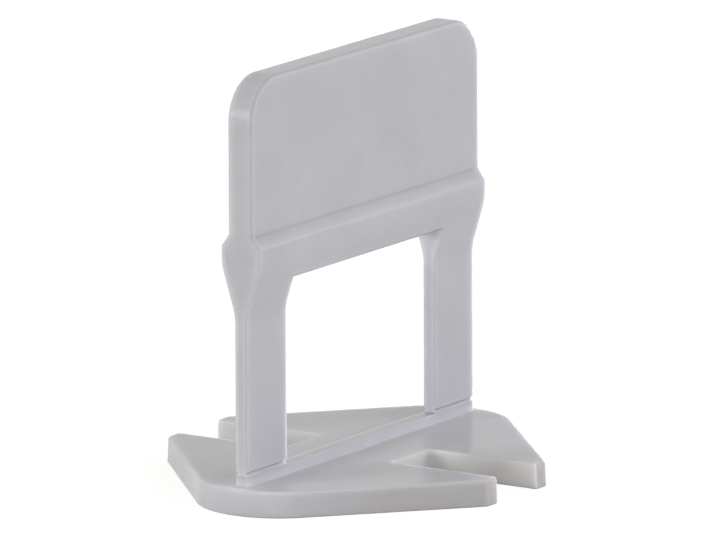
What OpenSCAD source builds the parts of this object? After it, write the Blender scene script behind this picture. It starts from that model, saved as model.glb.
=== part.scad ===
// Tile levelling clip, one moulding in natural polypropylene.
// The base goes under two tiles, the strap stands up through the joint between them and a wedge is
// driven through the window. The strap then snaps off at the notch just above the base.
// X runs along the strap, Y across it, and the clip stands on Z = 0 with the strap over the origin.

/* [Strap] */
// Width of the strap, the same from the legs to the head
strap_w = 41.6; // [36:0.2:44]
// Height of the whole clip
clip_h = 43.6; // [40:0.2:52]
// Thickness of the legs, which sets the joint width
leg_t = 1.5; // [1:0.1:2.4]
// Width of each leg
leg_w = 7.3; // [5:0.1:10]
// Radius of the long edges of the strap
edge_r = 0.35; // [0.1:0.05:0.45]

/* [Cross bar] */
// Height of the underside of the bar, the top of the window
window_z = 22.5; // [21:0.1:25]
// Width of the flat under the bar
under_w = 1.1; // [0.6:0.1:2]
// Height of the rounded lower lip of the bar
lip_h = 1; // [0.4:0.1:1.4]
// Height from the window to the full thickness of the bar
bar_rise = 2.4; // [1.5:0.1:3.5]
// Height over which the legs thicken up to the bar
flare_h = 5; // [3:0.1:8]
// Height of the flat face of the bar
bar_h = 1.9; // [1:0.1:3]
// Height of the slope from the bar up to the head
shoulder_h = 1.1; // [0.6:0.1:2]
// Thickness of the bar
bar_t = 4.6; // [4:0.1:6]

/* [Head] */
// Thickness of the head plate
head_t = 3; // [2.4:0.1:3.6]
// Radius of the two upper corners
head_corner_r = 4.5; // [3:0.1:7]
// Radius of the edges around both faces
head_edge_r = 0.5; // [0.2:0.05:0.8]

/* [Break line] */
// Height of the sill that stays on the base when the strap snaps off
sill_h = 1; // [0.6:0.1:1.6]
// Height of the notch above the sill
notch_h = 0.6; // [0.4:0.1:0.8]
// Depth of the notch on each face
notch_d = 0.3; // [0.1:0.05:0.35]
// Radius of the fillet between the sill and the base
sill_r = 0.3; // [0.1:0.05:0.4]

/* [Base] */
// How far the base reaches past the strap at each end
nose_reach = 1.2; // [0.6:0.1:4]
// Width of the base across the strap, from tip to tip
base_w = 38; // [32:0.2:46]
// Width of each flat tip, slot included
tip_w = 11.4; // [9:0.2:15]
// Thickness of the base
base_t = 2.7; // [2:0.1:3.4]
// Radius of the two rounded ends in plan
nose_r = 8.4; // [5:0.2:10]
// Radius of the tip corners in plan
tip_r = 0.5; // [0.4:0.1:1.2]
// How much the sides spread from top to bottom
base_draft = 0.1; // [0.05:0.05:0.8]
// Radius on the upper edge of the base
base_edge_r = 0.35; // [0.1:0.05:0.4]
// Width of each slot
slot_w = 7.2; // [4:0.1:7.6]
// Length of each slot from the tip inwards
slot_l = 12.7; // [8:0.1:14]
// Radius of the inner corners of the slot
slot_r = 0.6; // [0.3:0.1:1.5]

/* [Hidden] */
corner_steps = 5;
foot_steps = 3;
edge_stagger = 0.002;
edge_turns = [-67.5, -45, -22.5, 22.5, 45, 67.5];
$fn = 64;
clip_colour = [0.78, 0.78, 0.8];
bar_z = window_z + bar_rise;
bar_top_z = bar_z + bar_h;
head_z = bar_top_z + shoulder_h;
flare_z = bar_z - flare_h;
leg_x = (strap_w - leg_w) / 2;
root_z = base_t / 2;
sill_z = base_t + sill_h;
notch_z = sill_z + notch_h / 2;
notch_top_z = sill_z + notch_h;
notch_t = leg_t - 2 * notch_d;
nose_x = strap_w / 2 + nose_reach - nose_r;
slot_end_y = base_w / 2 - slot_l;
past = 1;

// Side view of the strap above the notch, as [height, half thickness], ending inside the head
flare = [
    [flare_z, leg_t / 2],
    [bar_z, bar_t / 2],
    [bar_top_z, bar_t / 2],
    [head_z + shoulder_h / 2, head_t * 3 / 4 - bar_t / 4]];

// A length on a grid of a thousandth of a millimetre, so that solids share their edges exactly
function grid(length) = round(length * 1000) / 1000;

// Half thickness of the strap at a height inside the flare
function flare_half(z) =
    let (share = min(max((z - flare_z) / (bar_z - flare_z), 0), 1))
    leg_t / 2 + share * (bar_t - leg_t) / 2;

// Prism along X whose side view is given by levels of [height, half thickness]
module profile_prism(length, levels) {
    count = len(levels);
    rotate([90, 0, 90])
        linear_extrude(length, center = true)
            polygon(concat(
                [for (level = levels) [level[1], level[0]]],
                [for (i = [count - 1 : -1 : 0]) [-levels[i][1], levels[i][0]]]));
}

// Upright whose four long edges are rounded by three cuts each, which touch the edge radius.
// Each cut bends at its own height, so that no more than three faces meet at a point.
module upright(width, levels, edge_levels) {
    intersection() {
        profile_prism(width, levels);
        intersection_for(turn = edge_turns)
            rotate([0, 0, turn])
                profile_prism(2 * width, [for (level = edge_levels)
                    [level[0] - edge_stagger * abs(turn), edge_r
                        + (width / 2 - edge_r) * abs(sin(turn))
                        + (level[1] - edge_r) * cos(turn)]]);
    }
}

// Outer form of the strap from inside the base to inside the head, with the notch along both faces
module strap_blank() {
    foot = [for (i = [1 : foot_steps])
        let (angle = 90 * i / foot_steps)
        [grid(base_t + sill_r * (1 - cos(angle))), grid(leg_t / 2 + sill_r * (1 - sin(angle)))]];
    foot_root = [2 * base_t - foot[0][0], leg_t + 2 * sill_r - foot[0][1]];
    notch = [
        [sill_z, leg_t / 2],
        [notch_z, notch_t / 2],
        [notch_top_z, leg_t / 2]];
    upright(strap_w, concat([foot_root], foot, notch, flare), concat([[root_z, leg_t / 2]], flare));
}

// Room between the legs: under the bar's rounded lip, over the sill, and round the inner edges of the legs
module window() {
    lip_z = window_z + lip_h;
    lip = [for (i = [0 : corner_steps])
        let (angle = 90 * i / corner_steps)
        [grid(lip_z - lip_h * cos(angle)),
         grid(under_w / 2 + (flare_half(lip_z) - under_w / 2) * sin(angle))]];
    leg = concat([[root_z, leg_t / 2]], flare);
    difference() {
        translate([-leg_x, -bar_t, sill_z])
            cube([2 * leg_x, 2 * bar_t, lip_z - sill_z]);
        for (side = [-1, 1])
            translate([side * leg_x, 0, 0])
                upright(leg_w, leg, leg);
        profile_prism(2 * leg_x + past, lip);
    }
}

// Strap: two legs, the sill and the cross bar
module strap() {
    difference() {
        strap_blank();
        window();
    }
}

// Section through the edge of the head, as [distance in from the edge, half thickness]
head_edge = concat(
    [[head_corner_r, head_t / 2]],
    [for (i = [0 : corner_steps])
        let (angle = 90 * i / corner_steps)
        [grid(head_edge_r * (1 - sin(angle))), grid(head_t / 2 - head_edge_r * (1 - cos(angle)))]]);

// Plan of that edge on both faces, with the edge at the given reach from the origin
function edge_plan(reach) = concat(
    [for (p = head_edge) [reach - p[0], p[1]]],
    [for (i = [len(head_edge) - 1 : -1 : 0]) [reach - head_edge[i][0], -head_edge[i][1]]]);

// Head plate with rounded edges that run round both upper corners
module head() {
    profile_prism(strap_w - 2 * head_corner_r, concat(
        [[bar_top_z, head_t / 2]],
        [for (p = head_edge) [clip_h - p[0], p[1]]]));
    for (side = [0, 1])
        mirror([side, 0, 0]) {
            translate([0, 0, bar_top_z])
                linear_extrude(clip_h - head_corner_r - bar_top_z)
                    polygon(edge_plan(strap_w / 2));
            translate([strap_w / 2 - head_corner_r, 0, clip_h - head_corner_r])
                rotate([90, 0, 0])
                    rotate_extrude(angle = 90)
                        polygon(edge_plan(head_corner_r));
        }
}

// Turned blank with the section of the base's rim
module rim_blank(r) {
    arc = [for (i = [0 : corner_steps])
        let (angle = 90 * i / corner_steps)
        [r - base_edge_r * (1 - cos(angle)), base_t - base_edge_r * (1 - sin(angle))]];
    rotate_extrude()
        polygon(concat([[0, 0], [r + base_draft, 0]], arc, [[0, base_t]]));
}

// Open slot from the tip inwards, with rounded inner corners
module slot() {
    translate([0, 0, -past])
        linear_extrude(base_t + 2 * past) {
            for (side = [-1, 1])
                translate([side * (slot_w / 2 - slot_r), slot_end_y + slot_r])
                    circle(slot_r);
            translate([slot_r - slot_w / 2, slot_end_y])
                square([slot_w - 2 * slot_r, slot_l]);
            translate([-slot_w / 2, slot_end_y + slot_r])
                square([slot_w, slot_l + past]);
        }
}

// Base plate: two rounded ends and four tip corners drawn together, slotted from both tips
module base() {
    difference() {
        hull() {
            for (side = [-1, 1]) {
                translate([side * nose_x, 0, 0])
                    rim_blank(nose_r);
                for (end = [-1, 1])
                    translate([side * (tip_w / 2 - tip_r), end * (base_w / 2 - tip_r), 0])
                        rim_blank(tip_r);
            }
        }
        slot();
        mirror([0, 1, 0])
            slot();
    }
}

module clip() {
    color(clip_colour)
        union() {
            base();
            strap();
            head();
        }
}

clip();
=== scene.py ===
import bpy
import bmesh
import math
from mathutils import Matrix, Vector


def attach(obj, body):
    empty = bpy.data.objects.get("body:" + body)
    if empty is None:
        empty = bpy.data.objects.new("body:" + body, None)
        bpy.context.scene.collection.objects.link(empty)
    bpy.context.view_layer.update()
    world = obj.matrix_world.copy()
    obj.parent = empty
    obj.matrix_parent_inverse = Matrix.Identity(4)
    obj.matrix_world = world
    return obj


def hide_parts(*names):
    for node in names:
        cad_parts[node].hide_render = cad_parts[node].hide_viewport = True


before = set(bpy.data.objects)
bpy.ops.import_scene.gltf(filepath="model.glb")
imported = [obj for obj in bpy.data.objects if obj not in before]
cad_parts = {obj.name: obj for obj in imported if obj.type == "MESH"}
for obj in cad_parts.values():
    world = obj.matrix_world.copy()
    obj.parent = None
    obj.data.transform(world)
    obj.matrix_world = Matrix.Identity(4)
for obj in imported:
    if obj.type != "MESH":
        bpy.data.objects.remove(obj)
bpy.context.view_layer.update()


# The clip is one injection moulding: a slotted base plate, two thin legs round the wedge window, a thick
# cross bar and a head plate. Natural polypropylene, milky and a little see-through. The piece follows the
# solid it stands for, with its hard edges eased and the bends of the flare softened as in the mould.
same_place = 1e-6
same_level = 1e-7
same_plane = math.radians(0.2)
soft_bend = math.radians(32)
hard_bend = math.radians(60)
eased_edge = 0.00015
leg_half = 0.00075
bar_half = 0.0023
flare_foot = 0.0199
flare_top = 0.0249
flare_slope = (bar_half - leg_half) / (flare_top - flare_foot)
bend_reach = 0.0009
bend_steps = 4

clip_mesh = bpy.data.meshes.new("moulded_clip")
bm = bmesh.new()
bm.from_mesh(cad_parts["clip"].data)
bmesh.ops.remove_doubles(bm, verts=bm.verts, dist=same_place)
bmesh.ops.dissolve_limit(bm, angle_limit=same_plane, verts=bm.verts, edges=bm.edges)
for bend_z, half, turns_out in ((flare_foot, leg_half, 1), (flare_top, bar_half, -1)):
    for step in range(-bend_steps, bend_steps + 1):
        level = bend_z + step * bend_reach / bend_steps
        bmesh.ops.bisect_plane(bm, geom=bm.verts[:] + bm.edges[:] + bm.faces[:], dist=same_level,
                               plane_co=(0, 0, level), plane_no=(0, 0, 1))
    for vert in bm.verts:
        along = turns_out * (vert.co.z - bend_z)
        if abs(along) < bend_reach:
            slope = turns_out * flare_slope
            sharp_half = half + slope * max(along, 0)
            soft_half = half + slope * (along + bend_reach) ** 2 / (4 * bend_reach)
            vert.co.y *= soft_half / sharp_half
hard_edges = [edge for edge in bm.edges
              if edge.is_convex and edge.calc_face_angle() > hard_bend]
bmesh.ops.bevel(bm, geom=hard_edges, offset=eased_edge, offset_type="OFFSET", segments=3, profile=0.5,
                affect="EDGES", material=-1)
bmesh.ops.remove_doubles(bm, verts=bm.verts, dist=same_place)

# The bevel leaves its faces in no fixed order, so points and faces are put in order of their place
for order, vert in enumerate(sorted(bm.verts, key=lambda vert: vert.co[:])):
    vert.index = order
bm.verts.sort()
for order, face in enumerate(sorted(bm.faces, key=lambda face: face.calc_center_median()[:])):
    face.index = order
    face.smooth = True
bm.faces.sort()
bm.to_mesh(clip_mesh)
bm.free()
clip_mesh.set_sharp_from_angle(angle=soft_bend)
moulded_clip = bpy.data.objects.new("moulded_clip", clip_mesh)
bpy.context.scene.collection.objects.link(moulded_clip)
even_light = moulded_clip.modifiers.new("even_light", "WEIGHTED_NORMAL")
even_light.keep_sharp = True

milky = bpy.data.materials.new("natural_polypropylene")
milky.use_nodes = True
nodes = milky.node_tree.nodes
links = milky.node_tree.links
plastic = nodes["Principled BSDF"]
plastic.inputs["IOR"].default_value = 1.49
plastic.inputs["Specular IOR Level"].default_value = 0.07
plastic.inputs["Subsurface Weight"].default_value = 1
plastic.inputs["Subsurface Radius"].default_value = (1.0, 1.0, 1.06)
plastic.inputs["Subsurface Scale"].default_value = 0.002
place = nodes.new("ShaderNodeTexCoord")

# Cloudiness of the plastic, from how it flowed into the mould
flow = nodes.new("ShaderNodeTexNoise")
flow.inputs["Scale"].default_value = 130
flow.inputs["Detail"].default_value = 4
flow.inputs["Roughness"].default_value = 0.55
flow.inputs["Distortion"].default_value = 0.6
links.new(place.outputs["Object"], flow.inputs["Vector"])
milk = nodes.new("ShaderNodeValToRGB")
milk.color_ramp.elements[0].position = 0.3
milk.color_ramp.elements[0].color = (0.455, 0.455, 0.495, 1)
milk.color_ramp.elements[1].position = 0.72
milk.color_ramp.elements[1].color = (0.49, 0.49, 0.53, 1)
links.new(flow.outputs["Fac"], milk.inputs["Fac"])


def reckon(operation, first, *others):
    """Math node: the first value is linked, and the others are linked or written in."""
    node = nodes.new("ShaderNodeMath")
    node.operation = operation
    links.new(first, node.inputs[0])
    for slot, other in enumerate(others, 1):
        if isinstance(other, (int, float)):
            node.inputs[slot].default_value = other
        else:
            links.new(other, node.inputs[slot])
    return node.outputs["Value"]


def share(value, start, end):
    """How far a value is from start to end, as 0 to 1."""
    node = nodes.new("ShaderNodeMapRange")
    node.inputs["From Min"].default_value = start
    node.inputs["From Max"].default_value = end
    links.new(value, node.inputs["Value"])
    return node.outputs["Result"]


def grey_ramp(value, first, stops):
    """Ramp of greys from the first shade, through the stops, to white."""
    node = nodes.new("ShaderNodeValToRGB")
    for level, shade in stops:
        stop = node.color_ramp.elements.new(level)
        stop.color = (shade, shade, shade, 1)
    node.color_ramp.elements[0].color = (first, first, first, 1)
    links.new(value, node.inputs["Fac"])
    return node.outputs["Color"]


def tinted(colour, tint, mask=None):
    """A colour times a tint, everywhere or where the mask is 1."""
    node = nodes.new("ShaderNodeMix")
    node.data_type = "RGBA"
    node.blend_type = "MULTIPLY"
    node.inputs[0].default_value = 1
    if mask is not None:
        links.new(mask, node.inputs[0])
    links.new(colour, node.inputs[6])
    if isinstance(tint, tuple):
        node.inputs[7].default_value = tint
    else:
        links.new(tint, node.inputs[7])
    return node.outputs[2]


# Painted light and shade by place, standing in for the light that the milky plastic passes on inside. The
# first goes by height:
# painted light at the foot of the sill, painted shade on its top edge.
where = nodes.new("ShaderNodeSeparateXYZ")
links.new(place.outputs["Object"], where.inputs["Vector"])
off_centre = reckon("ABSOLUTE", where.outputs["X"])
off_strap = reckon("ABSOLUTE", where.outputs["Y"])
toned_height = 0.006
painted_sill_light_and_shade = grey_ramp(share(where.outputs["Z"], 0, toned_height), 1, (
    (0.455, 1), (0.47, 1.34), (0.52, 1.16), (0.56, 1.04), (0.59, 0.96), (0.612, 0.84),
    (0.62, 0.84), (0.632, 1.04), (0.7, 1.04), (0.73, 1)))
colour = tinted(milk.outputs["Color"], painted_sill_light_and_shade)

# Painted light and shade on the sides of the base: cool and light at the left end, warmer and darker from
# there on
side_middle = 0.0013
side_half = 0.00128
cool_end = -0.021
warm_start = -0.012
on_sides = reckon("COMPARE", where.outputs["Z"], side_middle, side_half)
painted_side_light_and_shade = nodes.new("ShaderNodeValToRGB")
painted_side_light_and_shade.color_ramp.elements[0].color = (1.07, 1.07, 1.09, 1)
painted_side_light_and_shade.color_ramp.elements[1].color = (0.94, 0.92, 0.88, 1)
links.new(share(where.outputs["X"], cool_end, warm_start), painted_side_light_and_shade.inputs["Fac"])
colour = tinted(colour, painted_side_light_and_shade.outputs["Color"], on_sides)

# Painted light on the walls of the two slots, standing in for the light that comes through the fingers
slot_reach = 0.0037
painted_slot_light_mask = reckon("MULTIPLY", reckon("LESS_THAN", off_centre, slot_reach), on_sides)
colour = tinted(colour, (1.36, 1.36, 1.36, 1), painted_slot_light_mask)

# Painted light on the inner faces of the legs, lighter towards the bar
leg_inside = 0.0135
inside_band = 0.00012
inside_half = 0.0015
inside_foot = 0.0038
inside_top = 0.0238
on_inside = reckon("MULTIPLY",
                   reckon("COMPARE", off_centre, leg_inside, inside_band),
                   reckon("LESS_THAN", off_strap, inside_half))
painted_inside_light = grey_ramp(share(where.outputs["Z"], inside_foot, inside_top), 1, (
    (0.02, 1.08), (0.7, 1.08), (0.91, 1.3), (0.98, 1.5)))
colour = tinted(colour, painted_inside_light, on_inside)

# Painted light on the top of the base, lighter close to the strap
base_top = 0.0027
top_band = 0.0001
near_strap = 0.0008
far_from_strap = 0.0065
on_top = reckon("COMPARE", where.outputs["Z"], base_top, top_band)
painted_foot_light = grey_ramp(share(off_strap, near_strap, far_from_strap), 1.24, ((0.2, 1.12), (0.5, 1.01)))
colour = tinted(colour, painted_foot_light, on_top)

# Painted shade on the rounded edges of the strap and the head, darker by how far they turn from the front
above_notch = 0.0044
facing = nodes.new("ShaderNodeSeparateXYZ")
links.new(place.outputs["Normal"], facing.inputs["Vector"])
painted_edge_shade = grey_ramp(reckon("ABSOLUTE", facing.outputs["Y"]), 1, (
    (0.2, 1), (0.4, 0.89), (0.7, 0.87), (0.8, 0.97), (0.9, 1)))
on_strap = reckon("GREATER_THAN", where.outputs["Z"], above_notch)
colour = tinted(colour, painted_edge_shade, on_strap)
links.new(colour, plastic.inputs["Base Color"])

# Satin skin, rubbed unevenly, with the fine grain of the mould
rub = nodes.new("ShaderNodeTexNoise")
rub.inputs["Scale"].default_value = 420
rub.inputs["Detail"].default_value = 3
links.new(place.outputs["Object"], rub.inputs["Vector"])
satin = nodes.new("ShaderNodeMapRange")
satin.inputs["From Min"].default_value = 0.3
satin.inputs["From Max"].default_value = 0.7
satin.inputs["To Min"].default_value = 0.18
satin.inputs["To Max"].default_value = 0.24
links.new(rub.outputs["Fac"], satin.inputs["Value"])
links.new(satin.outputs["Result"], plastic.inputs["Roughness"])

grain = nodes.new("ShaderNodeTexNoise")
grain.inputs["Scale"].default_value = 5200
grain.inputs["Detail"].default_value = 2
links.new(place.outputs["Object"], grain.inputs["Vector"])
skin = nodes.new("ShaderNodeBump")
skin.inputs["Strength"].default_value = 0.06
skin.inputs["Distance"].default_value = 0.00002
links.new(grain.outputs["Fac"], skin.inputs["Height"])
links.new(skin.outputs["Normal"], plastic.inputs["Normal"])

clip_mesh.materials.append(milky)
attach(moulded_clip, "root")
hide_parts("clip")


# Camera: a long lens from the front left and a little above the clip, turned a quarter of a degree.
# The side steps put the clip where it stands in the picture of 716 by 540 points.
turn = math.radians(56.94)
rise = math.radians(11.92)
roll = math.radians(0.23)
reach = 1.365
picture_width = 0.0716
sensor_width = 36
side_step = 0.00019
up_step = -0.0204
right = Vector((math.cos(turn), -math.sin(turn), 0))
toward = Vector((-math.cos(rise) * math.sin(turn), -math.cos(rise) * math.cos(turn), math.sin(rise)))
upward = toward.cross(right)
across = math.cos(roll) * right - math.sin(roll) * upward
aloft = math.sin(roll) * right + math.cos(roll) * upward
spot = side_step * across - up_step * aloft + reach * toward
lens = bpy.data.cameras.new("camera")
lens.sensor_width = sensor_width
lens.lens = reach / picture_width * sensor_width
lens.clip_end = 20
camera = bpy.data.objects.new("camera", lens)
camera.matrix_world = Matrix((
    (across.x, aloft.x, toward.x, spot.x),
    (across.y, aloft.y, toward.y, spot.y),
    (across.z, aloft.z, toward.z, spot.z),
    (0, 0, 0, 1)))
bpy.context.scene.collection.objects.link(camera)
bpy.context.scene.camera = camera


# Floor: a plain white sheet that the clip stands on. The camera sees it as white paper, with the
# clip's soft shadow left on it, and the clip gets its plain bounce from below.
def looked_at():
    """1 on rays that show the background of the picture, 0 on rays that light the clip."""
    ray = nodes.new("ShaderNodeLightPath")
    mirrored = reckon("MAXIMUM", ray.outputs["Is Glossy Ray"], ray.outputs["Is Transmission Ray"])
    return reckon("MAXIMUM", ray.outputs["Is Camera Ray"], mirrored)


floor_half = 6
floor_mesh = bpy.data.meshes.new("floor")
bm = bmesh.new()
bmesh.ops.create_grid(bm, x_segments=1, y_segments=1, size=floor_half)
bm.to_mesh(floor_mesh)
bm.free()
floor = bpy.data.objects.new("floor", floor_mesh)
bpy.context.scene.collection.objects.link(floor)
paper = bpy.data.materials.new("white_paper")
paper.use_nodes = True
nodes = paper.node_tree.nodes
links = paper.node_tree.links
nodes.remove(nodes["Principled BSDF"])
sheet = nodes.new("ShaderNodeBsdfDiffuse")
sheet.inputs["Color"].default_value = (0.92, 0.9, 0.87, 1)
shadow = nodes.new("ShaderNodeBsdfDiffuse")
shadow.inputs["Color"].default_value = (0.35, 0.35, 0.36, 1)
glow = nodes.new("ShaderNodeEmission")
glow.inputs["Strength"].default_value = 0.78
seen = nodes.new("ShaderNodeAddShader")
links.new(shadow.outputs["BSDF"], seen.inputs[0])
links.new(glow.outputs["Emission"], seen.inputs[1])
choice = nodes.new("ShaderNodeMixShader")
links.new(looked_at(), choice.inputs["Fac"])
links.new(sheet.outputs["BSDF"], choice.inputs[1])
links.new(seen.outputs["Shader"], choice.inputs[2])
links.new(choice.outputs["Shader"], nodes["Material Output"].inputs["Surface"])
floor_mesh.materials.append(paper)


# Light: a room whose wall is bright in front, plainer on the left and right, and dim behind and above.
# A small box behind on the left gives the spot on the head's corner, and a low one on the right shines
# into the right-hand edges of the milky plastic.
room = bpy.data.worlds.new("bright_room")
bpy.context.scene.world = room
room.use_nodes = True
nodes = room.node_tree.nodes
links = room.node_tree.links
walls = nodes["Background"]
direction = nodes.new("ShaderNodeTexCoord")
seen_walls = None
for facing_to, wall_colour in (
        ((-1, 0, 0), (0.9, 0.93, 0.84)),
        ((1, 0, 0), (0.77, 0.77, 0.79)),
        ((0, -1, 0), (1.98, 1.99, 2.06)),
        ((0, 1, 0), (0.25, 0.25, 0.28)),
        ((0, 0, 1), (0.34, 0.31, 0.22))):
    toward_wall = nodes.new("ShaderNodeVectorMath")
    toward_wall.operation = "DOT_PRODUCT"
    toward_wall.inputs[1].default_value = facing_to
    links.new(direction.outputs["Generated"], toward_wall.inputs[0])
    ahead = reckon("MAXIMUM", toward_wall.outputs["Value"], 0)
    wall = nodes.new("ShaderNodeVectorMath")
    wall.operation = "SCALE"
    wall.inputs[0].default_value = wall_colour
    links.new(reckon("POWER", ahead, 2), wall.inputs["Scale"])
    if seen_walls:
        both = nodes.new("ShaderNodeVectorMath")
        links.new(seen_walls.outputs["Vector"], both.inputs[0])
        links.new(wall.outputs["Vector"], both.inputs[1])
        seen_walls = both
    else:
        seen_walls = wall
links.new(seen_walls.outputs["Vector"], walls.inputs["Color"])
backdrop = nodes.new("ShaderNodeBackground")
backdrop.inputs["Color"].default_value = (1, 1, 1, 1)
backdrop.inputs["Strength"].default_value = 1
choice = nodes.new("ShaderNodeMixShader")
links.new(looked_at(), choice.inputs["Fac"])
links.new(walls.outputs["Background"], choice.inputs[1])
links.new(backdrop.outputs["Background"], choice.inputs[2])
links.new(choice.outputs["Shader"], nodes["World Output"].inputs["Surface"])

middle = Vector((0, 0, 0.022))
for name, stand, wide, tall, watts in (
        ("corner_box", (-0.42, 0.28, 0.15), 0.1, 0.16, 0.97),
        ("right_box", (0.5, 0.04, 0.011), 0.3, 0.02, 2.4)):
    box = bpy.data.lights.new(name, "AREA")
    box.shape = "RECTANGLE"
    box.size = wide
    box.size_y = tall
    box.energy = watts
    lamp = bpy.data.objects.new(name, box)
    lamp.location = stand
    lamp.rotation_euler = (middle - Vector(stand)).to_track_quat("-Z", "Y").to_euler()
    bpy.context.scene.collection.objects.link(lamp)

bpy.context.scene.view_settings.view_transform = "Standard"
